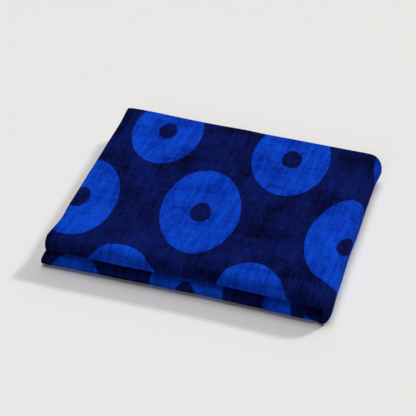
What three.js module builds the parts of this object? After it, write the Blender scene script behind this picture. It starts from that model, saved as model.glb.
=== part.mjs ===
// An indigo resist-dyed cotton cloth, folded lengthwise into eight layers and then once over itself,
// so that sixteen layers lie in two bundles. The bundles' plump folds lie along the front, the
// turn-over is at the right end, and the cloth's cut ends lie at the left.
// Millimetres, +Z up. X runs along the length, Y from front to back, and the floor is at Z = 0.

import * as THREE from 'three';

// The cloth and its layers. A layer's height is counted from the plane between the two bundles.
const CLOTH_THICKNESS = 1.5;
const LAYER_PITCH = 2.55;
const BUNDLE_HEIGHT = 20;
const STACK_HEIGHT = 2 * BUNDLE_HEIGHT;

// Where the folded cloth ends, before it is centred on its box.
const FRONT_Y = -126;
const RIGHT_X = 150;
const TOP_LEFT_X = -149.4;
const LOWER_LEFT_X = -155.5;
const TURN_X = RIGHT_X - BUNDLE_HEIGHT;

// The folds' noses are rounded about this line, one inside the other.
const NOSE_RADIUS = BUNDLE_HEIGHT / 2;
const NOSE_Y = FRONT_Y + NOSE_RADIUS;

// The cloth's way through a bundle, from one selvedge to the other. Layer 1 is the outer one.
// Each row names a layer, the fold that joins it to the next row's layer, and how far back that goes.
const PANELS = [
  { layer: 5, fold: 'front', selvedgeY: 122.5 },
  { layer: 4, fold: 'back', reachY: 124.5 },
  { layer: 1, fold: 'front' },
  { layer: 8, fold: 'back', reachY: 121.5 },
  { layer: 7, fold: 'front' },
  { layer: 2, fold: 'back', reachY: 121.0 },
  { layer: 3, fold: 'front' },
  { layer: 6, fold: 'none', selvedgeY: 118.5 },
];
const STEPS_PER_LAYER = 4;

// Cross sections along the cloth, from the top's left end, over the turn, to the underside's left end.
const RUNS = [
  { run: 'top', steps: 6, crowding: 1 },
  { run: 'turn', steps: 10, crowding: 1 },
  { run: 'lower', steps: 14, crowding: 1.9 },
];

// The cut ends lean outwards from the top to the floor, and flare where the noses are.
const TOP_END_FLARE = 4.6;
const LOWER_END_LEAN = 5.5;
const FLARE_BEGINS_Y = -70;
const FLARE_ENDS_Y = -118;

// The right end bulges a little towards the front corner.
const CORNER_BULGE = 2.4;

// The front line draws in beside its middle, and the lower fold stands out at the left.
const FRONT_BEND_BEGINS_Y = -40;
const FRONT_DRAW_IN = 1.7;
const DRAW_IN_X = 30;
const DRAW_IN_HALF_WIDTH = 75;
const LOWER_FOLD_OUT = 2.8;
const LOWER_FOLD_OUT_FULL_X = -150;
const LOWER_FOLD_OUT_ENDS_X = -60;

// The back folds wander along the length.
const BACK_WANDER = 1.1;
const BACK_WANDER_LENGTH = 170;

// Soft swells and hollows of the top, each a round patch that fades out at its radius.
const SWELLS = [
  { x: -70, y: 15, radius: 95, rise: -0.9 },
  { x: 45, y: -70, radius: 70, rise: 0.7 },
  { x: 95, y: 60, radius: 80, rise: -0.8 },
  { x: -115, y: -95, radius: 60, rise: 0.8 },
  { x: 0, y: 95, radius: 70, rise: 0.5 },
];

// The hollow under the turn at the front right corner. The lower nose ends there at a slanting
// crease, from the top of the crease down to its foot, and the cloth beyond it is tucked in.
const HOLLOW_DEPTH = 15;
const CREASE_TOP = { x: 116, z: 20 };
const CREASE_FOOT = { x: 137.5, z: 2 };
const CREASE_SOFTNESS = 8;
const HOLLOW_RADIUS = 9.5;
const HOLLOW_RIM = 6.5;
const HOLLOW_CEILING = { from: 20, to: 25 };

const COLOUR = 0x0b1c78;
const ROUGHNESS = 0.92;

// Eases from 0 to 1 as value goes from start to end. Start may be the larger of the two.
function ease(value, start, end) {
  const t = THREE.MathUtils.clamp((value - start) / (end - start), 0, 1);
  return t * t * (3 - 2 * t);
}

function layerHeight(layer) {
  return BUNDLE_HEIGHT - CLOTH_THICKNESS / 2 - (layer - 1) * LAYER_PITCH;
}

// Wide folds get more facets than tight ones.
function facetsOfFold(radius) {
  return 4 + 2 * Math.round(radius / 3.5);
}

// One side of the cloth's way through the bundle: offset is the side's distance to the left of the
// middle of the cloth, seen by someone who walks along it. X of a point is Y on the cloth.
function sideOfCloth(offset) {
  const points = [];
  PANELS.forEach((panel, index) => {
    const forwards = index % 2 === 0;
    const height = layerHeight(panel.layer);
    const backY = backOfPanel(index);
    const from = forwards ? backY : NOSE_Y;
    const to = forwards ? NOSE_Y : backY;
    const side = height + (forwards ? -offset : offset);
    for (let step = 0; step <= STEPS_PER_LAYER; step += 1) {
      points.push(new THREE.Vector2(THREE.MathUtils.lerp(from, to, step / STEPS_PER_LAYER), side));
    }
    if (panel.fold !== 'none') {
      points.push(...foldPoints(panel, PANELS[index + 1], to, offset));
    }
  });
  return points;
}

// The Y at which a panel's flat part ends at the back: at a selvedge, or at the centre of a fold.
function backOfPanel(index) {
  const panel = PANELS[index];
  if (panel.selvedgeY) {
    return panel.selvedgeY;
  }
  const first = panel.fold === 'back' ? index : index - 1;
  return PANELS[first].reachY - CLOTH_THICKNESS / 2 - foldRadius(PANELS[first], PANELS[first + 1]);
}

function foldRadius(panel, next) {
  return Math.abs(layerHeight(panel.layer) - layerHeight(next.layer)) / 2;
}

// The half circle that joins one layer to the next, without its two end points.
function foldPoints(panel, next, centreY, offset) {
  const points = [];
  const middle = (layerHeight(panel.layer) + layerHeight(next.layer)) / 2;
  const radius = foldRadius(panel, next);
  const climbs = layerHeight(next.layer) > layerHeight(panel.layer);
  const outwards = panel.fold === 'front' ? -1 : 1;
  const turnsRight = climbs === (panel.fold === 'front');
  const reach = radius + (turnsRight ? offset : -offset);
  const startSide = climbs ? -1 : 1;
  const facets = facetsOfFold(radius);
  for (let facet = 1; facet < facets; facet += 1) {
    const angle = (Math.PI * facet) / facets;
    points.push(new THREE.Vector2(
      centreY + outwards * reach * Math.sin(angle),
      middle + startSide * reach * Math.cos(angle),
    ));
  }
  return points;
}

// The left ends of the two bundles, for a point at height above the plane between them.
function leftEndX(run, y, height) {
  const outwards = height / BUNDLE_HEIGHT;
  if (run === 'lower') {
    return LOWER_LEFT_X - LOWER_END_LEAN * outwards;
  }
  const flare = ease(y, FLARE_BEGINS_Y, FLARE_ENDS_Y);
  return TOP_LEFT_X - TOP_END_FLARE * (1 - (1 - flare) * outwards);
}

// Lays a point of the section on the top run, round the turn or on the lower run.
function foldOver(y, height, station) {
  const turnX = TURN_X + CORNER_BULGE * ease(y, FLARE_BEGINS_Y, FRONT_Y);
  const { run, part } = station;
  if (run === 'turn') {
    const angle = Math.PI * part;
    return new THREE.Vector3(
      turnX + height * Math.sin(angle),
      y,
      BUNDLE_HEIGHT + height * Math.cos(angle),
    );
  }
  const end = leftEndX(run, y, height);
  if (run === 'top') {
    return new THREE.Vector3(THREE.MathUtils.lerp(end, turnX, part), y, BUNDLE_HEIGHT + height);
  }
  return new THREE.Vector3(THREE.MathUtils.lerp(turnX, end, part), y, BUNDLE_HEIGHT - height);
}

// How much of the front's sideways shifts reaches a point: all at the noses, none further back.
function frontShare(y) {
  return ease(y, FRONT_BEND_BEGINS_Y, NOSE_Y);
}

function hollowShare(x, z) {
  const slantX = CREASE_FOOT.x - CREASE_TOP.x;
  const slantZ = CREASE_FOOT.z - CREASE_TOP.z;
  const length = Math.hypot(slantX, slantZ);
  const beyondCrease = ((z - CREASE_TOP.z) * slantX - (x - CREASE_TOP.x) * slantZ) / length;
  const fromTurn = Math.hypot(x - TURN_X, z - BUNDLE_HEIGHT);
  return ease(beyondCrease, 0, CREASE_SOFTNESS)
    * ease(fromTurn, HOLLOW_RADIUS + HOLLOW_RIM, HOLLOW_RADIUS)
    * ease(z, HOLLOW_CEILING.to, HOLLOW_CEILING.from);
}

// The uneven lie of the cloth: every shift fades towards the floor or the middle of the stack,
// so that layers keep their order and the underside stays flat.
function layUnevenly(point) {
  const { x, y, z } = point;
  const lowerShare = ease(z, 0.6 * STACK_HEIGHT, 0.4 * STACK_HEIGHT);
  const drawIn = FRONT_DRAW_IN * Math.exp(-(((x - DRAW_IN_X) / DRAW_IN_HALF_WIDTH) ** 2));
  const out = LOWER_FOLD_OUT * lowerShare * ease(x, LOWER_FOLD_OUT_ENDS_X, LOWER_FOLD_OUT_FULL_X);
  const hollow = HOLLOW_DEPTH * hollowShare(x, z);
  const wander = BACK_WANDER * Math.sin((2 * Math.PI * x) / BACK_WANDER_LENGTH);
  let rise = 0;
  for (const swell of SWELLS) {
    rise += swell.rise * ease(Math.hypot(x - swell.x, y - swell.y), swell.radius, 0);
  }
  point.y += frontShare(y) * (drawIn - out + hollow) + ease(y, 0, 120) * wander;
  point.z += rise * (z / STACK_HEIGHT);
}

function stationsAlongCloth() {
  const stations = [];
  RUNS.forEach(({ run, steps, crowding }, index) => {
    const first = index === 0 ? 0 : 1;
    for (let step = first; step <= steps; step += 1) {
      stations.push({ run, part: (step / steps) ** crowding });
    }
  });
  return stations;
}

function foldedClothGeometry() {
  const outline = [
    ...sideOfCloth(CLOTH_THICKNESS / 2),
    ...sideOfCloth(-CLOTH_THICKNESS / 2).reverse(),
  ];
  const stations = stationsAlongCloth();
  const steps = stations.length - 1;
  const geometry = new THREE.ExtrudeGeometry(new THREE.Shape(outline), {
    steps,
    depth: steps,
    bevelEnabled: false,
  });
  const position = geometry.attributes.position;
  for (let index = 0; index < position.count; index += 1) {
    const station = stations[Math.round(position.getZ(index))];
    const point = foldOver(position.getX(index), position.getY(index), station);
    layUnevenly(point);
    position.setXYZ(index, point.x, point.y, point.z);
  }
  return centredOnItsBase(geometry);
}

// Moves the geometry so that the middle of its box's underside is the origin.
function centredOnItsBase(geometry) {
  geometry.computeBoundingBox();
  const centre = geometry.boundingBox.getCenter(new THREE.Vector3());
  geometry.translate(-centre.x, -centre.y, -geometry.boundingBox.min.z);
  geometry.computeVertexNormals();
  return geometry;
}

const cloth = new THREE.Mesh(
  foldedClothGeometry(),
  new THREE.MeshStandardMaterial({ color: COLOUR, roughness: ROUGHNESS, metalness: 0 }),
);
cloth.name = 'adire_cloth';

const foldedCloth = new THREE.Group();
foldedCloth.add(cloth);

export default foldedCloth;
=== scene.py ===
"""The looks of a folded adire cloth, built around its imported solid.

The cloth is one cotton sheet, indigo resist-dyed with discs that have dark centres. It is folded
lengthwise into eight layers and then once over itself, so its two bundles lie one on the other.
Lengths are millimetres in the part's frame, and MM turns them into Blender's metres.
"""

import logging
import math
import random
from dataclasses import dataclass
from enum import Enum

import bmesh
import bpy
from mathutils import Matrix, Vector, noise


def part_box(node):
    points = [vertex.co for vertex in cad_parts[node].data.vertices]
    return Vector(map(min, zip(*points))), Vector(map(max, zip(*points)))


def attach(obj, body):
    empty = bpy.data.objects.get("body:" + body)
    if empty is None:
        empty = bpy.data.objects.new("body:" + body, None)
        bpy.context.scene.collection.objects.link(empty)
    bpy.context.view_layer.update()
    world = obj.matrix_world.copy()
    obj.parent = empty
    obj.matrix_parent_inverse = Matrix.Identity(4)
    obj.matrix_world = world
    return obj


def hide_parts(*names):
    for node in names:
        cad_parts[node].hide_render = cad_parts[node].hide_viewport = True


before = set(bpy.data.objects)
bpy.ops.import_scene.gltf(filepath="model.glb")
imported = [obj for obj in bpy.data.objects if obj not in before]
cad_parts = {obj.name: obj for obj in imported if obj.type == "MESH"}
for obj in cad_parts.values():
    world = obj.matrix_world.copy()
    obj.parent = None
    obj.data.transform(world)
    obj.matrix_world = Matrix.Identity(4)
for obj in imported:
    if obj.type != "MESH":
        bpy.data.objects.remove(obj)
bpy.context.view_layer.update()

LOG = logging.getLogger("adire_cloth")

Socket = bpy.types.NodeSocket
NodeTree = bpy.types.NodeTree
Span = tuple[float, float]
Colour = tuple[float, float, float, float]
Spots = dict[bmesh.types.BMVert, Span]

MM = 0.001
BODY = "root"
CLOTH_NODE = "adire_cloth"
CLOTH_MAPS = ("cloth", "disc", "dot", "pleat")


def ease(value: float, start: float, end: float) -> float:
    """Ease from 0 to 1 as a value goes from start to end.

    Args:
        value: The value that moves.
        start: Where the share is 0. It may be the larger of the two.
        end: Where the share is 1.

    Returns:
        The share, from 0 to 1.
    """
    part = min(max((value - start) / (end - start), 0.0), 1.0)
    return part * part * (3.0 - 2.0 * part)


def ripple(seed: float, *place: float) -> float:
    """Return smooth unevenness between about -1 and 1 at a place counted in wavelengths."""
    spot = [*place, 0.0, 0.0][:3]
    spot[2] += seed
    return noise.noise(Vector(spot))


class Fold(Enum):
    """How a layer goes on to the next one on the cloth's way through a bundle."""

    FRONT = "front"
    BACK = "back"
    SELVEDGE = "selvedge"


class Run(Enum):
    """The stretches of the folded cloth along its length."""

    TOP = "top"
    TURN = "turn"
    LOWER = "lower"


@dataclass(frozen=True)
class Panel:
    """One layer of a bundle. Layer 1 is the outer one.

    Attributes:
        layer: The layer's number, from the outside to the middle of the stack.
        fold: What joins it to the next panel.
        short: How far its back fold or selvedge stays behind the longest back fold.
        cells: Mesh cells between its front and its back.
        fold_cells: Mesh cells round the fold that follows.
        crowding: Over 1, the cells crowd towards the front.
    """

    layer: int
    fold: Fold
    short: float
    cells: int
    fold_cells: int
    crowding: float = 1.0


PANELS = (
    Panel(layer=5, fold=Fold.FRONT, short=2.0, cells=8, fold_cells=5),
    Panel(layer=4, fold=Fold.BACK, short=0.0, cells=8, fold_cells=10),
    Panel(layer=1, fold=Fold.FRONT, short=0.0, cells=60, fold_cells=22),
    Panel(layer=8, fold=Fold.BACK, short=3.0, cells=12, fold_cells=6, crowding=1.8),
    Panel(layer=7, fold=Fold.FRONT, short=3.0, cells=8, fold_cells=9),
    Panel(layer=2, fold=Fold.BACK, short=3.5, cells=8, fold_cells=6),
    Panel(layer=3, fold=Fold.FRONT, short=3.5, cells=8, fold_cells=7),
    Panel(layer=6, fold=Fold.SELVEDGE, short=6.0, cells=8, fold_cells=0),
)


@dataclass(frozen=True)
class Station:
    """A place on the cloth's way through a bundle.

    Attributes:
        across: Distance over the flat cloth from where the outer layer meets the front fold.
        y: The part's Y.
        height: Height over the plane between the two bundles, for the upper one.
        outer: Whether it lies on the outer layer, its front fold or the layer that fold leads to.
    """

    across: float
    y: float
    height: float
    outer: bool


@dataclass(frozen=True)
class Swell:
    """A soft round rise of the cloth, or a hollow where the rise is negative."""

    x: float
    y: float
    radius: float
    rise: float

    def lift(self, x: float, y: float) -> float:
        """Return how far the swell lifts the top at a place."""
        return self.rise * ease(math.hypot(x - self.x, y - self.y), self.radius, 0.0)


SWELLS = (
    Swell(x=-65.6, y=16.5, radius=95.0, rise=-0.9),
    Swell(x=49.4, y=-68.5, radius=70.0, rise=0.7),
    Swell(x=99.4, y=61.5, radius=80.0, rise=-0.8),
    Swell(x=-110.6, y=-93.5, radius=60.0, rise=0.8),
    Swell(x=4.4, y=96.5, radius=70.0, rise=0.5),
)


@dataclass(frozen=True)
class SideSwell:
    """A place where the turned-over end stands out to the right, fading at its reach."""

    y: float
    reach: float
    out: float


SIDE_SWELLS = (
    SideSwell(y=-82.0, reach=62.0, out=1.6),
    SideSwell(y=126.0, reach=30.0, out=2.0),
    SideSwell(y=8.0, reach=50.0, out=0.8),
)


@dataclass(frozen=True)
class Crease:
    """A soft press crease on the top, as a trough or a ridge between two points.

    Attributes:
        start: X and Y of one end.
        end: X and Y of the other end.
        width: Half the width over which it fades.
        rise: How far it stands up, or down where it is negative.
    """

    start: Span
    end: Span
    width: float
    rise: float

    def lift(self, x: float, y: float) -> float:
        """Return how far the crease lifts the top at a place."""
        run_x = self.end[0] - self.start[0]
        run_y = self.end[1] - self.start[1]
        length = math.hypot(run_x, run_y)
        along = ((x - self.start[0]) * run_x + (y - self.start[1]) * run_y) / length
        aside = ((x - self.start[0]) * run_y - (y - self.start[1]) * run_x) / length
        fade = length / 4.0
        ends = ease(along, -fade, fade) * ease(along, length + fade, length - fade)
        return self.rise * ends * math.exp(-((aside / self.width) ** 2))


CREASES = (
    Crease((-6.6, 110.0), (-7.0, 42.0), width=3.5, rise=-0.50),
    Crease((137.4, 78.0), (136.4, 30.0), width=3.0, rise=0.55),
    Crease((144.6, 70.0), (143.6, 36.0), width=2.6, rise=0.35),
    Crease((131.0, 74.0), (130.6, 34.0), width=2.6, rise=-0.35),
    Crease((-39.6, 61.5), (-21.6, 49.5), width=3.2, rise=-0.45),
    Crease((20.4, 59.5), (35.4, 34.5), width=3.4, rise=0.40),
    Crease((-118.0, 2.0), (-53.0, 2.4), width=3.4, rise=0.35),
    Crease((-106.0, -85.0), (-36.0, -86.0), width=4.0, rise=0.40),
    Crease((82.0, 69.0), (126.0, 70.0), width=3.6, rise=0.35),
    Crease((53.4, 101.5), (53.0, 41.5), width=3.6, rise=-0.40),
    Crease((-57.6, 41.5), (-58.0, -18.5), width=3.6, rise=-0.35),
    Crease((71.9, 1.5), (72.3, -58.5), width=3.6, rise=-0.35),
)


# Creases of the front folds, placed by the distances along and across the flat cloth.
NOSE_CREASES = (
    Crease((126.0, 19.5), (136.0, 13.0), width=1.9, rise=1.2),
    Crease((136.0, 13.0), (150.0, 12.5), width=1.9, rise=1.3),
    Crease((130.0, 14.5), (141.0, 9.0), width=1.8, rise=-0.7),
    Crease((141.0, 9.0), (164.0, 8.0), width=2.0, rise=-0.6),
    Crease((316.0, 8.0), (313.0, 22.0), width=1.6, rise=0.6),
)


@dataclass(frozen=True)
class Hollow:
    """The hollow under the turn at the front right corner.

    The lower front fold ends at a slanting crease, and the cloth beyond it is tucked in.

    Attributes:
        depth: How far the cloth is tucked in.
        crease_top: X and Z of the crease's upper end.
        crease_foot: X and Z of the crease's lower end.
        softness: How far beyond the crease the cloth needs to sink in.
        facet: Slope of the lit facet beside the crease, as a share of the mean slope.
        axis: X and Z of the turn's axis, which is in the middle of the opening's ceiling.
        reach: How far the opening reaches from the axis in X and in Z.
        rim: How much further out the sinking begins, as a share of the reach.
        ceiling: Heights at which the hollow is full and at which it has ended.
        arch: How much higher the ceiling is where the opening ends on the right.
        dip: Depth of the shaded dip that runs along the near side of the crease.
        dip_width: Width of that dip.
        dip_heights: Heights between which the dip comes in.
    """

    depth: float
    crease_top: Span
    crease_foot: Span
    softness: float
    facet: float
    axis: Span
    reach: Span
    rim: float
    ceiling: Span
    arch: float
    dip: float
    dip_width: float
    dip_heights: Span

    def beyond_crease(self, x: float, z: float) -> float:
        """Return how far to the right of the crease a place of the front lies."""
        slant_x = self.crease_foot[0] - self.crease_top[0]
        slant_z = self.crease_foot[1] - self.crease_top[1]
        rise, run = z - self.crease_top[1], x - self.crease_top[0]
        return (rise * slant_x - run * slant_z) / math.hypot(slant_x, slant_z)

    def tuck(self, x: float, z: float) -> float:
        """Return how far the cloth is tucked in at a place of the front."""
        beyond = self.beyond_crease(x, z)
        part = min(max(beyond / self.softness, 0.0), 1.0)
        share = part * (self.facet + (1.0 - self.facet) * part * part)
        out_x = abs(x - self.axis[0]) / self.reach[0]
        out_z = abs(z - self.axis[1]) / self.reach[1]
        share *= ease((out_x**4 + out_z**4) ** 0.25, 1.0 + self.rim, 1.0)
        arch = self.arch * ease(x, self.axis[0] + 6.0, self.axis[0] + self.reach[0])
        share *= ease(z, self.ceiling[1] + arch, self.ceiling[0] + arch)
        near = ease(beyond, -self.dip_width, -0.5 * self.dip_width)
        near *= ease(beyond, 0.0, -0.3 * self.dip_width)
        near *= ease(z, self.ceiling[0], 0.9 * self.ceiling[0])
        return self.depth * share + self.dip * near * ease(z, *self.dip_heights)


@dataclass(frozen=True)
class DiscTie:
    """How one disc of the resist differs from its even place in the rows.

    Attributes:
        row: The disc's row, counted from the one along the middle of the top.
        column: The disc's number in its row.
        along: How far it is off along the cloth.
        across: How far it is off across the cloth.
        wide: Its size along the cloth, where 1 is the usual one.
        tall: Its size across the cloth, where 1 is the usual one.
        lean: How far it leans from straight across the cloth, in degrees.
        dot_along: How far its dark centre is off its middle, along the cloth.
        dot_across: The same across the cloth.
        dot_wide: The dark centre's size along the cloth, where 1 is the usual one.
        dot_tall: The same across the cloth.
        dot_lean: How far the dark centre leans, in degrees.
    """

    row: int
    column: int
    along: float
    across: float
    wide: float = 1.0
    tall: float = 1.0
    lean: float = 9.0
    dot_along: float = 0.0
    dot_across: float = 0.0
    dot_wide: float = 1.0
    dot_tall: float = 1.0
    dot_lean: float = 9.0


# The discs with ties of their own, by row and number in the row.
TIES = (
    DiscTie(-1, -1, along=-6.4, across=-14.0, wide=0.92, tall=0.86, lean=3.0,
            dot_across=0.5, dot_wide=0.92, dot_tall=0.90, dot_lean=5.0),
    DiscTie(-1, 0, along=-6.4, across=-8.0, tall=0.98, lean=4.5,
            dot_along=0.7, dot_across=2.0, dot_tall=0.97, dot_lean=4.0),
    DiscTie(-1, 1, along=-30.0, across=-66.5, wide=0.93, tall=0.89, lean=-3.0),
    DiscTie(0, -1, along=18.1, across=3.8, wide=0.88, tall=0.94,
            dot_along=-3.0, dot_across=1.7, dot_tall=1.04, dot_lean=4.0),
    DiscTie(0, 0, along=-1.4, across=-10.8, wide=0.99, tall=1.01,
            dot_along=1.0, dot_across=2.6),
    DiscTie(0, 1, along=12.1, across=-12.0, lean=-4.0,
            dot_along=0.8, dot_across=3.5, dot_wide=0.77, dot_tall=1.13, dot_lean=-25.0),
    DiscTie(0, 2, along=5.0, across=-8.0, wide=0.96, tall=0.96),
    DiscTie(0, 3, along=8.8, across=35.0, wide=0.85, tall=0.95, lean=3.0),
    DiscTie(1, -1, along=21.0, across=13.6, wide=1.04),
    DiscTie(1, 0, along=9.8, across=2.0, wide=0.965, lean=5.0),
    DiscTie(1, 1, along=-3.9, across=-34.0, wide=0.82, lean=2.0,
            dot_across=5.8, dot_wide=0.75, dot_lean=0.0),
    DiscTie(1, 2, along=-33.6, across=-47.0, wide=0.925, lean=-2.0,
            dot_across=2.6, dot_wide=0.94, dot_lean=0.0),
    DiscTie(1, 3, along=30.0, across=0.0),
)


@dataclass(frozen=True)
class Oval:
    """An oval on the flat cloth: its centre, its half axes and its lean in radians."""

    along: float
    across: float
    half_along: float
    half_across: float
    lean: float

    def local(self, along: float, across: float) -> Span:
        """Return a place in the oval's own measure, where its outline is at distance 1."""
        off_along, off_across = along - self.along, across - self.across
        cosine, sine = math.cos(self.lean), math.sin(self.lean)
        return (
            (off_along * cosine - off_across * sine) / self.half_along,
            (off_along * sine + off_across * cosine) / self.half_across,
        )


@dataclass(frozen=True)
class Disc:
    """One disc of the resist on the flat cloth, with its dark centre."""

    rim: Oval
    dot: Oval


@dataclass(frozen=True)
class DiscPattern:
    """The hand-tied discs: an even lattice with every other row moved by half a pitch.

    Attributes:
        row_pitch: Distance between rows, across the cloth.
        column_pitch: Distance between the discs of a row, along the cloth.
        first_row: Where the row numbered 0 lies, across the cloth.
        first_column: Where the disc numbered 0 of an even row lies, along the cloth.
        half_along: Half a disc's width along the cloth.
        half_across: Half a disc's width across the cloth.
        dot_along: Half a dark centre's width along the cloth.
        dot_across: Half a dark centre's width across the cloth.
        rows: The first and last row.
        columns: The first and last number in a row.
        loose: How far a disc without a tie of its own may be off, each way.
        loose_sizes: The smallest and largest size of such a disc, where 1 is the usual one.
        seed: Seed of the loose discs' places.
    """

    row_pitch: float = 122.0
    column_pitch: float = 147.0
    first_row: float = -72.0
    first_column: float = -7.6
    half_along: float = 43.0
    half_across: float = 70.0
    dot_along: float = 11.2
    dot_across: float = 16.4
    rows: tuple[int, int] = (-6, 11)
    columns: tuple[int, int] = (-2, 4)
    loose: float = 9.0
    loose_sizes: Span = (0.94, 1.02)
    seed: int = 7

    def discs(self) -> list[Disc]:
        """Return every disc of the cloth."""
        draw = random.Random(self.seed)
        ties = {(tie.row, tie.column): tie for tie in TIES}
        discs = []
        for row in range(self.rows[0], self.rows[1] + 1):
            for column in range(self.columns[0], self.columns[1] + 1):
                along, across = (draw.uniform(-self.loose, self.loose) for _ in range(2))
                size = draw.uniform(*self.loose_sizes)
                loose = DiscTie(row, column, along, across, size, size)
                discs.append(self.tied(ties.get((row, column), loose)))
        return discs

    def tied(self, tie: DiscTie) -> Disc:
        """Return the disc that a tie leaves on the cloth."""
        stagger = 0.5 * (tie.row % 2)
        along = self.first_column + self.column_pitch * (tie.column + stagger) + tie.along
        across = self.first_row + self.row_pitch * tie.row + tie.across
        rim = Oval(
            along,
            across,
            half_along=self.half_along * tie.wide,
            half_across=self.half_across * tie.tall,
            lean=math.radians(tie.lean),
        )
        dot = Oval(
            along + tie.dot_along,
            across + tie.dot_across,
            half_along=self.dot_along * tie.dot_wide,
            half_across=self.dot_across * tie.dot_tall,
            lean=math.radians(tie.dot_lean),
        )
        return Disc(rim, dot)


@dataclass(frozen=True)
class Speckle:
    """Soft patches of noise on the flat cloth.

    Attributes:
        along: The patches' length along the cloth, in millimetres.
        across: The patches' length across the cloth, in millimetres.
        detail: How many finer steps the noise has.
        share: How strongly the patches count.
    """

    along: float
    across: float
    detail: float
    share: float = 1.0


# How unevenly the cloth took the dye: clouds, streaks along the threads and the grain of the weave.
MOTTLE = (
    Speckle(42.0, 50.0, 2.0, share=1.3),
    Speckle(5.0, 60.0, 2.0, share=0.8),
    Speckle(75.0, 6.5, 2.0, share=0.55),
    Speckle(9.0, 11.0, 3.0, share=0.7),
    Speckle(3.0, 3.8, 1.0, share=0.45),
    Speckle(1.7, 26.0, 1.0, share=0.5),
    Speckle(22.0, 1.7, 1.0, share=0.3),
    Speckle(1.5, 2.0, 2.0, share=1.0),
)

# Where the discs' outlines waver, by hand and by the dye's creep along the threads.
RIM_WOBBLE = Speckle(46.0, 52.0, 0.0, share=0.03)
RIM_CREEP = Speckle(2.4, 2.8, 2.0, share=0.022)
DOT_WOBBLE = Speckle(16.0, 20.0, 0.0, share=0.16)
DOT_CREEP_SHARE = 0.10

# The relief of the cotton: its thicker threads each way, and soft puckers.
SLUBS = (
    Speckle(0.8, 14.0, 2.0),
    Speckle(18.0, 0.8, 2.0),
)
PUCKERS = Speckle(6.0, 7.0, 3.0, share=2.0)
THREAD_SHARE = 0.25


class NodeBench:
    """Adds nodes to a shader tree or group and joins them, for short recipes."""

    def __init__(self, tree: NodeTree) -> None:
        """Keep the tree that the nodes go to."""
        self.tree = tree

    def node(self, kind: str, **settings: object) -> bpy.types.Node:
        """Add a node.

        Args:
            kind: The node's type name.
            **settings: Its properties by name.

        Returns:
            The new node.
        """
        made = self.tree.nodes.new(kind)
        for name, value in settings.items():
            setattr(made, name, value)
        return made

    def feed(self, socket: Socket, value: object) -> None:
        """Join a socket to another one, or give it a plain value.

        Args:
            socket: The input socket.
            value: An output socket, a number or a row of numbers.
        """
        if isinstance(value, Socket):
            self.tree.links.new(value, socket)
        else:
            socket.default_value = value

    def maths(self, operation: str, *values: object) -> Socket:
        """Return the result of a Math node on some sockets or numbers."""
        made = self.node("ShaderNodeMath", operation=operation)
        for socket, value in zip(made.inputs, values):
            self.feed(socket, value)
        return made.outputs[0]

    def vectors(self, operation: str, *values: object) -> bpy.types.Node:
        """Return a Vector Math node on some sockets or rows of numbers."""
        made = self.node("ShaderNodeVectorMath", operation=operation)
        for socket, value in zip(made.inputs, values):
            self.feed(socket, value)
        return made

    def speckle(self, place: Socket, patches: Speckle) -> Socket:
        """Return soft noise on the flat cloth.

        Args:
            place: The flat cloth's coordinates, in metres.
            patches: The size and detail of the noise.

        Returns:
            A value about 0.5.
        """
        stretch = (1.0 / (patches.along * MM), 1.0 / (patches.across * MM), 1.0)
        scaled = self.vectors("MULTIPLY", place, stretch).outputs[0]
        made = self.node("ShaderNodeTexNoise", noise_dimensions="2D")
        self.feed(made.inputs["Vector"], scaled)
        self.feed(made.inputs["Scale"], 1.0)
        self.feed(made.inputs["Detail"], patches.detail)
        self.feed(made.inputs["Roughness"], 0.55)
        return made.outputs[0]

    def spread(
        self, value: Socket, low: float, high: float, soft: bool = False
    ) -> Socket:
        """Return a value turned to 0 at low and 1 at high, kept between them."""
        made = self.node(
            "ShaderNodeMapRange", interpolation_type="SMOOTHSTEP" if soft else "LINEAR"
        )
        for socket, number in zip(made.inputs, (value, low, high, 0.0, 1.0)):
            self.feed(socket, number)
        return made.outputs[0]

    def blend(self, share: object, low: object, high: object) -> Socket:
        """Return a colour mixed from two, where share 0 gives low and 1 gives high."""
        made = self.node("ShaderNodeMix", data_type="RGBA")
        self.feed(made.inputs["Factor"], share)
        self.feed(made.inputs["A"], low)
        self.feed(made.inputs["B"], high)
        return made.outputs["Result"]


def new_group(name: str, inputs: dict[str, str], outputs: dict[str, str]) -> NodeTree:
    """Make an empty shader node group with its sockets.

    Args:
        name: The group's name.
        inputs: Socket types by input name.
        outputs: Socket types by output name.

    Returns:
        The group.
    """
    group = bpy.data.node_groups.new(name, "ShaderNodeTree")
    for label, kind in inputs.items():
        group.interface.new_socket(label, in_out="INPUT", socket_type=kind)
    for label, kind in outputs.items():
        group.interface.new_socket(label, in_out="OUTPUT", socket_type=kind)
    return group


def linear_channel(value: int) -> float:
    """Return one channel of a screen colour, from 0 to 255, as linear light."""
    part = value / 255.0
    return part / 12.92 if part <= 0.04045 else ((part + 0.055) / 1.055) ** 2.4


def linear(red: int, green: int, blue: int) -> Colour:
    """Return a screen colour of 0 to 255 as Blender's linear colour."""
    return (linear_channel(red), linear_channel(green), linear_channel(blue), 1.0)


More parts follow.
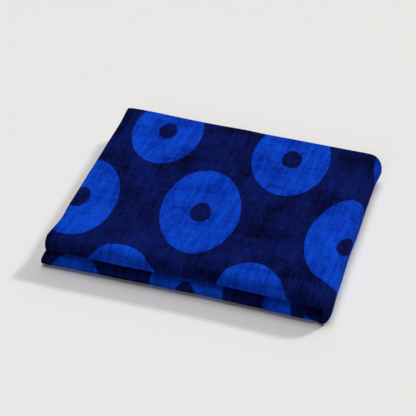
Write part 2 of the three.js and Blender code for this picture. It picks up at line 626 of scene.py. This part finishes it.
@dataclass(frozen=True)
class IndigoCotton:
    """The finish of the cloth: plain-woven cotton, cobalt discs on a mottled indigo ground.

    Attributes:
        disc_deep: Disc colour where the dye took most.
        disc_pale: Disc colour where the dye took least.
        ground_deep: Ground colour where the dye took most.
        ground_pale: Ground colour where the dye took least.
        roughness: Roughness of the matte cotton.
        gloss: The shader's specular level.
        thread_pitch: Distance between neighbouring threads.
        edge_softness: How far the dye creeps over a disc's outline, as a share of the disc.
        dot_softness: The same over a dark centre's outline, as a share of the centre.
        pleat_softness: Half the width, in millimetres, over which the pleat's edge cuts the discs.
        bump_strength: Strength of the weave's relief.
        bump_depth: Depth of the weave's relief, in millimetres.
    """

    disc_deep: Colour = linear(3, 34, 140)
    disc_pale: Colour = linear(13, 73, 208)
    ground_deep: Colour = linear(5, 5, 34)
    ground_pale: Colour = linear(12, 27, 99)
    roughness: float = 0.92
    gloss: float = 0.02
    thread_pitch: float = 0.55
    edge_softness: float = 0.014
    dot_softness: float = 0.055
    pleat_softness: float = 0.15
    bump_strength: float = 0.6
    bump_depth: float = 0.25

    def mottle_group(self) -> NodeTree:
        """Return the group that says how much dye the cloth took: 0 is most and 1 is least."""
        flat_input = {"Flat": "NodeSocketVector"}
        group = new_group("indigo_mottle", flat_input, {"Tone": "NodeSocketFloat"})
        bench = NodeBench(group)
        flat = bench.node("NodeGroupInput").outputs["Flat"]
        tone: object = 0.5
        for patches in MOTTLE:
            off = bench.maths("SUBTRACT", bench.speckle(flat, patches), 0.5)
            tone = bench.maths("MULTIPLY_ADD", off, patches.share, tone)
        bench.feed(bench.node("NodeGroupOutput").inputs["Tone"], tone)
        return group

    def resist_group(self) -> NodeTree:
        """Return the group that draws the discs: 1 where the resist kept the dye out."""
        places = dict.fromkeys(("Disc", "Dot", "Pleat", "Flat"), "NodeSocketVector")
        group = new_group("resist_disc", places, {"Resist": "NodeSocketFloat"})
        bench = NodeBench(group)
        inputs = bench.node("NodeGroupInput").outputs
        flat = inputs["Flat"]
        wobble = bench.maths("SUBTRACT", bench.speckle(flat, RIM_WOBBLE), 0.5)
        creep = bench.maths("SUBTRACT", bench.speckle(flat, RIM_CREEP), 0.5)
        distance = bench.vectors("LENGTH", inputs["Disc"]).outputs["Value"]
        distance = bench.maths("MULTIPLY_ADD", wobble, RIM_WOBBLE.share, distance)
        distance = bench.maths("MULTIPLY_ADD", creep, RIM_CREEP.share, distance)
        inside = bench.spread(distance, 1.0 + self.edge_softness, 1.0 - self.edge_softness, True)
        dot = bench.vectors("LENGTH", inputs["Dot"]).outputs["Value"]
        dot_wobble = bench.maths("SUBTRACT", bench.speckle(flat, DOT_WOBBLE), 0.5)
        dot = bench.maths("MULTIPLY_ADD", dot_wobble, DOT_WOBBLE.share, dot)
        dot = bench.maths("MULTIPLY_ADD", creep, DOT_CREEP_SHARE, dot)
        outside = bench.spread(dot, 1.0 - self.dot_softness, 1.0 + self.dot_softness, True)
        resist = bench.maths("MULTIPLY", inside, outside)
        pleat = bench.node("ShaderNodeSeparateXYZ")
        bench.feed(pleat.inputs[0], inputs["Pleat"])
        past_edge = bench.spread(pleat.outputs["X"], self.pleat_softness, -self.pleat_softness)
        off_front = bench.spread(pleat.outputs["Y"], self.pleat_softness, -self.pleat_softness)
        resist = bench.maths("MULTIPLY", resist, bench.maths("MAXIMUM", past_edge, off_front))
        bench.feed(bench.node("NodeGroupOutput").inputs["Resist"], resist)
        return group

    def weave_group(self) -> NodeTree:
        """Return the group that gives the plain weave's relief, from 0 to 1."""
        flat_input = {"Flat": "NodeSocketVector"}
        group = new_group("plain_weave", flat_input, {"Relief": "NodeSocketFloat"})
        bench = NodeBench(group)
        flat = bench.node("NodeGroupInput").outputs["Flat"]
        split = bench.node("ShaderNodeSeparateXYZ")
        bench.feed(split.inputs[0], flat)
        turn = math.pi / (self.thread_pitch * MM)
        warp = bench.maths("SINE", bench.maths("MULTIPLY", split.outputs["X"], turn))
        weft = bench.maths("SINE", bench.maths("MULTIPLY", split.outputs["Y"], turn))
        over = bench.maths("MULTIPLY", warp, weft)
        slub = bench.maths("ADD", *(bench.speckle(flat, patches) for patches in SLUBS))
        relief = bench.maths("MULTIPLY_ADD", over, THREAD_SHARE, slub)
        puckers = bench.speckle(flat, PUCKERS)
        relief = bench.maths("MULTIPLY_ADD", puckers, PUCKERS.share, relief)
        bench.feed(bench.node("NodeGroupOutput").inputs["Relief"], relief)
        return group

    def place_group(
        self, bench: NodeBench, group: NodeTree, **inputs: Socket
    ) -> Socket:
        """Put a group in the material and return its first output."""
        made = bench.node("ShaderNodeGroup", node_tree=group)
        for name, socket in inputs.items():
            bench.feed(made.inputs[name], socket)
        return made.outputs[0]

    def material(self) -> bpy.types.Material:
        """Return the cloth's material."""
        material = bpy.data.materials.new("indigo_cotton")
        material.use_nodes = True
        bench = NodeBench(material.node_tree)
        shader = material.node_tree.nodes["Principled BSDF"]
        flat, disc, dot, pleat = (
            bench.node("ShaderNodeUVMap", uv_map=name).outputs["UV"] for name in CLOTH_MAPS
        )
        tone = self.place_group(bench, self.mottle_group(), Flat=flat)
        resist = self.place_group(
            bench, self.resist_group(), Disc=disc, Dot=dot, Pleat=pleat, Flat=flat
        )
        relief = self.place_group(bench, self.weave_group(), Flat=flat)
        tone = bench.spread(tone, 0.0, 1.0)
        ground = bench.blend(tone, self.ground_deep, self.ground_pale)
        blue = bench.blend(tone, self.disc_deep, self.disc_pale)
        bench.feed(shader.inputs["Base Color"], bench.blend(resist, ground, blue))
        bump = bench.node("ShaderNodeBump")
        bump.inputs["Strength"].default_value = self.bump_strength
        bump.inputs["Distance"].default_value = self.bump_depth * MM
        bench.feed(bump.inputs["Height"], relief)
        bench.feed(shader.inputs["Normal"], bump.outputs["Normal"])
        shader.inputs["Roughness"].default_value = self.roughness
        shader.inputs["Specular IOR Level"].default_value = self.gloss
        return material


@dataclass
class FoldedCloth:
    """The folded sheet. Its reaches are taken from the solid's box, and the rest are its sizes.

    Attributes:
        low: The solid's lowest corner.
        high: The solid's highest corner.
    """

    low: Vector
    high: Vector

    # The layers of a bundle.
    thickness: float = 1.2
    bundle_height: float = 20.0
    inner_height: float = 1.4
    layers: int = 8

    # The turn. Its bulges and corners fade in over these zones of Y or of the angle.
    corner_bulge: float = 2.4
    bulge_at_widest: float = 2.2
    bulge_zone: float = 60.0
    corner_squareness: float = 0.55
    back_squareness: float = 0.35
    back_zone: float = 24.0
    back_bend: Span = (1.6, 1.2)

    # The cut ends, and the zones along the cloth or of Y over which their shifts come in.
    top_end_back: float = 5.4
    top_end_flare: float = 4.6
    lower_end_lean: float = 5.0
    lower_end_in: float = 1.2
    belly_height: float = 0.72
    belly_half: float = 0.72
    end_rounding: float = 2.6
    back_end_out: float = 1.6
    back_end_zone: Span = (90.0, 122.0)
    end_out: float = 1.1
    end_out_zone: Span = (-85.0, -60.0)
    flare_begins: float = 30.0
    flare_ends: float = -8.0
    end_zone: float = 75.0
    end_droop: float = 1.0
    droop_zone: float = 5.0

    # The front folds: the fuller upper one, the slimmer lower one, and their way in and out.
    fullness: float = 0.55
    full_zone: Span = (35.0, 10.0)
    slimness: float = 0.45
    slim_zone: Span = (-5.0, 25.0)
    front_zone: float = 76.0
    front_margin: float = 2.8
    draw_in: float = 1.7
    draw_in_x: float = 34.4
    draw_in_half: float = 75.0
    lower_fold_out: float = 1.7
    lower_heights: Span = (24.0, 16.0)
    lower_out_zone: Span = (-85.0, -152.0)
    nose_ripple: float = 0.55
    nose_wavelengths: Span = (38.0, 30.0)
    foot_out: float = 4.8
    foot_heights: Span = (9.0, 2.0)
    foot_zone: Span = (140.0, 153.0)

    # The pleat at the corner, and the room that the inner layers leave for the hollow.
    pleat_slope: float = 0.5
    pleat_starts: float = 16.0
    pleat_past_front: float = 3.0
    inner_tuck_zone: Span = (75.0, 30.0)

    # The back folds wander along the length and stay back a little to the right.
    back_wander: float = 1.1
    wander_length: float = 170.0
    wander_middle: float = 4.4
    wander_ends: float = -38.1
    wander_zone: Span = (1.4, 121.4)
    back_in: float = 0.9
    back_in_zone: Span = (-8.0, 20.0)

    # The soft waves of the layers, and the heights over which waves and creases come in.
    layer_wave: float = 0.42
    layer_wavelength: float = 46.0
    wave_change: float = 0.2
    wave_heights: Span = (0.5, 4.0)
    crease_heights: Span = (36.0, 38.6)
    seed: float = 3.7

    def __post_init__(self) -> None:
        """Work out where the folded cloth lies from the solid's box."""
        self.outer_height = self.bundle_height - self.thickness / 2.0
        self.pitch = (self.outer_height - self.inner_height) / (self.layers - 1)
        self.turn_x = self.high.x - self.bundle_height - self.bulge_at_widest
        self.turn_length = math.pi * self.outer_height
        nose_reach = (self.outer_height - self.inner_height + self.thickness) / 2.0
        self.nose_y = self.low.y + self.front_margin + nose_reach
        self.front_y = self.nose_y - nose_reach
        self.back_y = self.high.y - self.back_wander
        self.lower_left_x = self.low.x + self.lower_end_lean + self.lower_end_in
        self.top_left_x = self.lower_left_x + self.top_end_back
        self.hollow = Hollow(
            depth=24.0,
            crease_top=(self.turn_x - 18.0, self.bundle_height),
            crease_foot=(self.turn_x + 10.0, 2.0),
            softness=11.0,
            facet=0.35,
            axis=(self.turn_x, self.bundle_height),
            reach=(12.6, 17.6),
            rim=0.12,
            ceiling=(20.0, 22.0),
            arch=3.6,
            dip=3.5,
            dip_width=7.0,
            dip_heights=(7.0, 13.0),
        )

    def layer_height(self, layer: int) -> float:
        """Return a layer's height over the plane between the bundles."""
        return self.outer_height - (layer - 1) * self.pitch

    def stations(self) -> list[Station]:
        """Return the cloth's way through a bundle, from one selvedge to the other."""
        places: list[tuple[float, float, bool]] = []
        for index, panel in enumerate(PANELS):
            forwards = index % 2 == 0
            height = self.layer_height(panel.layer)
            back = self.back_of(index)
            for step in range(panel.cells + 1):
                part = step / panel.cells
                to_back = (1.0 - part if forwards else part) ** panel.crowding
                y = self.nose_y + (back - self.nose_y) * to_back
                places.append((y, height, panel.layer in (1, 8)))
            if panel.fold is not Fold.SELVEDGE:
                places.extend(self.fold_places(index, back))
        nose = next(
            index
            for index, place in enumerate(places)
            if place[1] < self.outer_height and places[index - 1][2]
        )
        lengths = [0.0]
        for (y, z, _), (next_y, next_z, _) in zip(places, places[1:]):
            lengths.append(lengths[-1] + math.hypot(next_y - y, next_z - z))
        start = lengths[nose - 1]
        return [Station(length - start, *place) for length, place in zip(lengths, places)]

    def back_of(self, index: int) -> float:
        """Return the Y at which a panel's flat part ends at the back."""
        panel = PANELS[index]
        if index in (0, len(PANELS) - 1):
            return self.back_y - panel.short
        first = index if panel.fold is Fold.BACK else index - 1
        start, end = (self.layer_height(PANELS[number].layer) for number in (first, first + 1))
        radius = abs(start - end) / 2.0
        return self.back_y - PANELS[first].short - self.thickness / 2.0 - radius

    def fold_places(self, index: int, back: float) -> list[tuple[float, float, bool]]:
        """Return the places round a panel's fold, without the two where it is flat again."""
        panel, following = PANELS[index], PANELS[index + 1]
        start, end = self.layer_height(panel.layer), self.layer_height(following.layer)
        centre = self.nose_y if panel.fold is Fold.FRONT else back
        outwards = -1.0 if panel.fold is Fold.FRONT else 1.0
        places = []
        for step in range(1, panel.fold_cells):
            angle = math.pi * step / panel.fold_cells
            y = centre + outwards * abs(start - end) / 2.0 * math.sin(angle)
            height = (start + end) / 2.0 + (start - end) / 2.0 * math.cos(angle)
            places.append((y, height, panel.layer in (1, 8) and panel.fold is Fold.FRONT))
        return places

    def columns(self) -> list[float]:
        """Return the distances along the flat cloth at which the mesh has its cross sections."""
        turn_end = self.turn_x + self.turn_length
        far_end = turn_end + self.turn_x - self.lower_left_x
        marks = (
            (self.top_left_x, 0),
            (self.top_left_x + 16.0, 9),
            (self.turn_x - 30.0, 70),
            (self.turn_x, 24),
            (turn_end, 50),
            (turn_end + 26.0, 32),
            (turn_end + 90.0, 20),
            (far_end - 16.0, 34),
            (far_end, 9),
        )
        columns = [self.top_left_x]
        for (start, _), (end, cells) in zip(marks, marks[1:]):
            columns.extend(start + (end - start) * step / cells for step in range(1, cells + 1))
        return columns

    def run_of(self, along: float) -> Run:
        """Return the stretch on which a distance along the flat cloth lies."""
        if along <= self.turn_x:
            return Run.TOP
        return Run.TURN if along < self.turn_x + self.turn_length else Run.LOWER

    def fold_over(self, along: float, station: Station) -> Vector:
        """Lay a place of the flat cloth on the top run, round the turn or on the lower run."""
        y, height = self.plump(along, station), station.height
        bulge = self.corner_bulge * ease(y, self.nose_y + self.flare_begins, self.front_y)
        bulge += sum(side.out * ease(abs(y - side.y), side.reach, 0.0) for side in SIDE_SWELLS)
        turn_x = self.turn_x + bulge
        outwards = height / self.bundle_height
        corner = self.end_rounding * ease(y, self.back_y - self.end_rounding, self.back_y + 1.0)
        run = self.run_of(along)
        if run is Run.TURN:
            angle = (along - self.turn_x) / self.outer_height
            squareness = self.corner_squareness * ease(y, self.nose_y + self.bulge_zone, self.nose_y)
            power = 1.0 - squareness * ease(math.cos(angle), 0.0, -0.5)
            back_share = self.back_squareness * ease(y, self.back_y - self.back_zone, self.back_y)
            power -= back_share * ease(angle, *self.back_bend)
            reach_x, reach_z = height * max(math.sin(angle), 0.0) ** power, height * math.cos(angle)
            return Vector((turn_x + reach_x, y, self.bundle_height + reach_z))
        if run is Run.TOP:
            flare = ease(y, self.nose_y + self.flare_begins, self.nose_y + self.flare_ends)
            end = -self.top_end_flare * (1.0 - (1.0 - flare) * outwards)
            end_share = ease(along, self.top_left_x + self.end_zone, self.top_left_x)
            end += corner - self.back_end_out * ease(y, *self.back_end_zone)
            end -= self.end_out * ease(y, *self.end_out_zone)
            x = along + end * end_share
            x += bulge * ease(along, self.turn_x - self.bulge_zone, self.turn_x)
            return Vector((x, y, self.bundle_height + height))
        past = along - self.turn_x - self.turn_length
        length = self.turn_x - self.lower_left_x
        x = self.turn_x - past + bulge * ease(past, self.bulge_zone, 0.0)
        belly = 1.0 - ((outwards - self.belly_height) / self.belly_half) ** 2
        x -= (self.lower_end_lean * belly - corner) * ease(past, length - self.end_zone, length)
        return Vector((x, y, self.bundle_height - height))

    def plump(self, along: float, station: Station) -> float:
        """Return a station's Y. At the notch the upper nose is fuller and the lower one slimmer."""
        radius = (self.outer_height - self.inner_height) / 2.0
        inwards = (self.nose_y - station.y) / radius
        if not station.outer or inwards <= 0.0 or station.height > self.inner_height + radius:
            return station.y
        fullness = self.fullness * ease(along - self.turn_x, *self.full_zone)
        turn_end = self.turn_x + self.turn_length
        fullness -= self.slimness * ease(along - turn_end, *self.slim_zone)
        return self.nose_y - radius * inwards ** (1.0 - fullness)

    def settle(self, point: Vector, along: float, station: Station) -> Vector:
        """Add the uneven lie of the cloth. The underside stays flat, and layers keep their order.

        Args:
            point: The evenly folded place.
            along: Its distance along the flat cloth.
            station: Its place on the way through the bundle.

        Returns:
            The settled place.
        """
        x, y, z = point
        front = ease(y, self.nose_y + self.front_zone, self.nose_y)
        lower = ease(z, *self.lower_heights)
        draw_in = self.draw_in * math.exp(-(((x - self.draw_in_x) / self.draw_in_half) ** 2))
        stand_out = self.lower_fold_out * lower * ease(x, *self.lower_out_zone)
        tuck = self.hollow.tuck(x, z) if station.outer else self.inner_tuck(along)
        turns = (min(x, self.wander_ends) - self.wander_middle) / self.wander_length
        wander = self.back_wander * math.sin(2.0 * math.pi * turns)
        wander -= self.back_in * ease(x, *self.back_in_zone)
        rise = sum(swell.lift(x, y) for swell in SWELLS) * z / (2.0 * self.bundle_height)
        wave = self.layer_wave * ripple(
            self.seed + self.wave_change * station.height,
            x / self.layer_wavelength,
            y / self.layer_wavelength,
        )
        wave *= ease(z, *self.wave_heights)
        length_along, length_up = self.nose_wavelengths
        nose = self.nose_ripple * front * ripple(self.seed, along / length_along, z / length_up)
        nose += sum(crease.lift(along, station.across) for crease in NOSE_CREASES)
        nose -= self.foot_out * ease(z, *self.foot_heights) * ease(x, *self.foot_zone) * front
        press = ease(z, *self.crease_heights) * sum(crease.lift(x, y) for crease in CREASES)
        droop = self.end_droop * ease(along, self.top_left_x + self.droop_zone, self.top_left_x)
        back = ease(y, *self.wander_zone) * wander
        return Vector(
            (x, y + front * (draw_in - stand_out + tuck) + nose + back, z + rise + wave + press - droop)
        )

    def inner_tuck(self, along: float) -> float:
        """Return how far the inner layers' front folds stay back, which makes room at the hollow."""
        starts, full = self.inner_tuck_zone
        into = ease(along, self.turn_x - starts, self.turn_x - full)
        turn_end = self.turn_x + self.turn_length
        return self.hollow.depth * into * ease(along, turn_end + starts, turn_end + full)

    def mesh(self, pattern: DiscPattern) -> bpy.types.Mesh:
        """Build the sheet from a grid whose cells follow the flat cloth.

        Args:
            pattern: The discs, for the map that the dye reads.

        Returns:
            The sheet's middle surface, with the maps named cloth, disc, dot and pleat.
        """
        stations, columns = self.stations(), self.columns()
        cells_along, cells_across = len(columns) - 1, len(stations) - 1
        sheet = bmesh.new()
        bmesh.ops.create_grid(sheet, x_segments=cells_along, y_segments=cells_across, size=1.0)
        flat: Spots = {}
        pleat: Spots = {}
        for vertex in sheet.verts:
            column = columns[round((vertex.co.x + 1.0) / 2.0 * cells_along)]
            station = stations[round((vertex.co.y + 1.0) / 2.0 * cells_across)]
            point = self.fold_over(column, station)
            flat[vertex] = (column, station.across)
            pleat[vertex] = self.past_pleat(column, station.across, point)
            vertex.co = self.settle(point, column, station) * MM
        self.map_flat(sheet, flat, pleat, pattern)
        mesh = bpy.data.meshes.new("folded_cloth")
        sheet.to_mesh(mesh)
        sheet.free()
        mesh.shade_smooth()
        return mesh

    def past_pleat(self, along: float, across: float, point: Vector) -> Span:
        """Return how far a place is past the pleat's edge and how far inside its front fold.

        The tuck at the corner swallows some cloth, so no disc goes on past its edge there.
        """
        lower_only = self.pleat_slope * (along - self.turn_x - self.pleat_starts)
        past = min(self.hollow.beyond_crease(point.x, point.z), lower_only)
        return past, across + self.pleat_past_front

    def map_flat(
        self,
        sheet: bmesh.types.BMesh,
        flat: Spots,
        pleat: Spots,
        pattern: DiscPattern,
    ) -> None:
        """Write the flat cloth's coordinates and each face's place in its nearest disc.

        Args:
            sheet: The sheet's bmesh.
            flat: Each vertex's place on the flat cloth.
            pleat: Each vertex's place past the pleat's edge.
            pattern: The discs.
        """
        maps = {name: sheet.loops.layers.uv.new(name) for name in CLOTH_MAPS}
        discs = pattern.discs()
        for face in sheet.faces:
            places = [flat[loop.vert] for loop in face.loops]
            along = sum(place[0] for place in places) / len(places)
            across = sum(place[1] for place in places) / len(places)
            nearest = min(discs, key=lambda disc: math.hypot(*disc.rim.local(along, across)))
            for loop, place in zip(face.loops, places):
                loop[maps["cloth"]].uv = Vector(place) * MM
                loop[maps["disc"]].uv = nearest.rim.local(*place)
                loop[maps["dot"]].uv = nearest.dot.local(*place)
                loop[maps["pleat"]].uv = pleat[loop.vert]

    def flat_size(self) -> Span:
        """Return the flat cloth's width and length in metres."""
        columns, stations = self.columns(), self.stations()
        return (
            (columns[-1] - columns[0]) * MM,
            (stations[-1].across - stations[0].across) * MM,
        )

    def build(self, pattern: DiscPattern, finish: IndigoCotton) -> bpy.types.Object:
        """Args:
            pattern: The discs of the resist.
            finish: The cloth's finish.

        Returns:
            The cloth's object.
        """
        cloth = bpy.data.objects.new("folded_adire_cloth", self.mesh(pattern))
        bpy.context.collection.objects.link(cloth)
        cloth.data.materials.append(finish.material())
        solid = cloth.modifiers.new("thickness", "SOLIDIFY")
        solid.thickness = self.thickness * MM
        solid.offset = 0.0
        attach(cloth, BODY)
        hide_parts(CLOTH_NODE)
        self.flat_size()
        faces = len(cloth.data.polygons)
        LOG.info("cloth: %d faces, flat size %.3f by %.3f m", faces, *self.flat_size())
        return cloth


@dataclass(frozen=True)
class Lamp:
    """A soft distant light.

    Attributes:
        name: Its name.
        direction: Where it lies, from the cloth.
        strength: Its strength in watts per square metre.
        spread_degrees: How wide it looks from the cloth. A wide one has soft shadows.
        tint: Its colour.
    """

    name: str
    direction: tuple[float, float, float]
    strength: float
    spread_degrees: float
    tint: tuple[float, float, float] = (1.0, 1.0, 1.0)

    def add(self) -> None:
        """Add the light to the scene."""
        data = bpy.data.lights.new(self.name, "SUN")
        data.energy = self.strength
        data.angle = math.radians(self.spread_degrees)
        data.color = self.tint
        light = bpy.data.objects.new(self.name, data)
        bpy.context.collection.objects.link(light)
        light.rotation_mode = "QUATERNION"
        light.rotation_quaternion = Vector(self.direction).to_track_quat("Z", "Y")


# The light of the front and of the ceiling is slightly warmer than the key's.
WARM = (1.0, 0.975, 0.94)

LAMPS = (
    Lamp("key", direction=(0.73, 0.83, 1.0), strength=1.50, spread_degrees=8.0),
    Lamp("back", direction=(0.1, 0.7, 1.0), strength=0.46, spread_degrees=50.0),
    Lamp("overhead", direction=(0.0, 0.0, 1.0), strength=1.62, spread_degrees=34.0, tint=WARM),
    Lamp("front", direction=(0.0, -1.0, 0.7), strength=0.50, spread_degrees=24.0, tint=WARM),
)


@dataclass(frozen=True)
class Studio:
    """The pale floor, the soft light and the camera at the photo's viewing angle.

    Attributes:
        target: The point on the floor at the middle of the picture.
        azimuth: The camera's bearing from the front towards +X, in degrees.
        elevation: The camera's height over the horizon, in degrees.
        distance: The camera's distance from the target.
        lens: Focal length on a sensor 36 millimetres wide.
        sky: Strength of the even light from all round.
        backdrop: Brightness of the sky where the camera sees it.
        floor_tone: The floor's colour.
        floor_roughness: The floor's roughness.
        floor_gloss: The floor's specular level.
        floor_size: The floor's side.
    """

    target: tuple[float, float, float] = (-17.44, 21.2, 0.0)
    azimuth: float = 17.62
    elevation: float = 39.23
    distance: float = 1539.98
    lens: float = 119.99
    sky: float = 0.01
    backdrop: float = 0.8
    floor_tone: Colour = (0.77, 0.77, 0.77, 1.0)
    floor_roughness: float = 0.9
    floor_gloss: float = 0.1
    floor_size: float = 9000.0

    def view_direction(self) -> Vector:
        """Return the direction from the target to the camera."""
        turn, tilt = math.radians(self.azimuth), math.radians(self.elevation)
        return Vector(
            (math.sin(turn) * math.cos(tilt), -math.cos(turn) * math.cos(tilt), math.sin(tilt))
        )

    def add_camera(self) -> None:
        """Add the camera and make it the scene's."""
        data = bpy.data.cameras.new("camera")
        data.sensor_width = 36.0
        data.lens = self.lens
        camera = bpy.data.objects.new("camera", data)
        bpy.context.collection.objects.link(camera)
        towards = self.view_direction()
        camera.location = (Vector(self.target) + towards * self.distance) * MM
        camera.rotation_mode = "QUATERNION"
        camera.rotation_quaternion = (-towards).to_track_quat("-Z", "Y")
        bpy.context.scene.camera = camera

    def add_floor(self) -> None:
        """Add the pale floor, which isn't part of the cloth."""
        slab = bmesh.new()
        bmesh.ops.create_grid(slab, x_segments=1, y_segments=1, size=self.floor_size * MM / 2.0)
        mesh = bpy.data.meshes.new("floor")
        slab.to_mesh(mesh)
        slab.free()
        floor = bpy.data.objects.new("floor", mesh)
        bpy.context.collection.objects.link(floor)
        material = bpy.data.materials.new("pale_floor")
        material.use_nodes = True
        shader = material.node_tree.nodes["Principled BSDF"]
        shader.inputs["Base Color"].default_value = self.floor_tone
        shader.inputs["Roughness"].default_value = self.floor_roughness
        shader.inputs["Specular IOR Level"].default_value = self.floor_gloss
        mesh.materials.append(material)

    def add_sky(self) -> None:
        """Add the even light from all round, with a pale backdrop where the camera sees it."""
        world = bpy.data.worlds.new("studio")
        world.use_nodes = True
        bench = NodeBench(world.node_tree)
        seen = bench.node("ShaderNodeLightPath").outputs["Is Camera Ray"]
        background = world.node_tree.nodes["Background"]
        background.inputs["Color"].default_value = (1.0, 1.0, 1.0, 1.0)
        strength = bench.maths("MULTIPLY_ADD", seen, self.backdrop - self.sky, self.sky)
        bench.feed(background.inputs["Strength"], strength)
        bpy.context.scene.world = world

    def build(self) -> None:
        """Set up the floor, the lights, the sky and the camera."""
        self.add_floor()
        self.add_sky()
        for lamp in LAMPS:
            lamp.add()
        bpy.context.scene.view_settings.view_transform = "Standard"
        self.add_camera()


def main() -> None:
    """Build the cloth and the studio."""
    logging.basicConfig(level=logging.INFO, format="%(name)s: %(message)s")
    low, high = (Vector(corner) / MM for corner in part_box(CLOTH_NODE))
    cloth = FoldedCloth(low=low, high=high)
    cloth.build(DiscPattern(), IndigoCotton())
    Studio().build()
    LOG.info("studio: floor, sky, %d lights and camera", len(LAMPS))


if __name__ == "__main__":
    main()
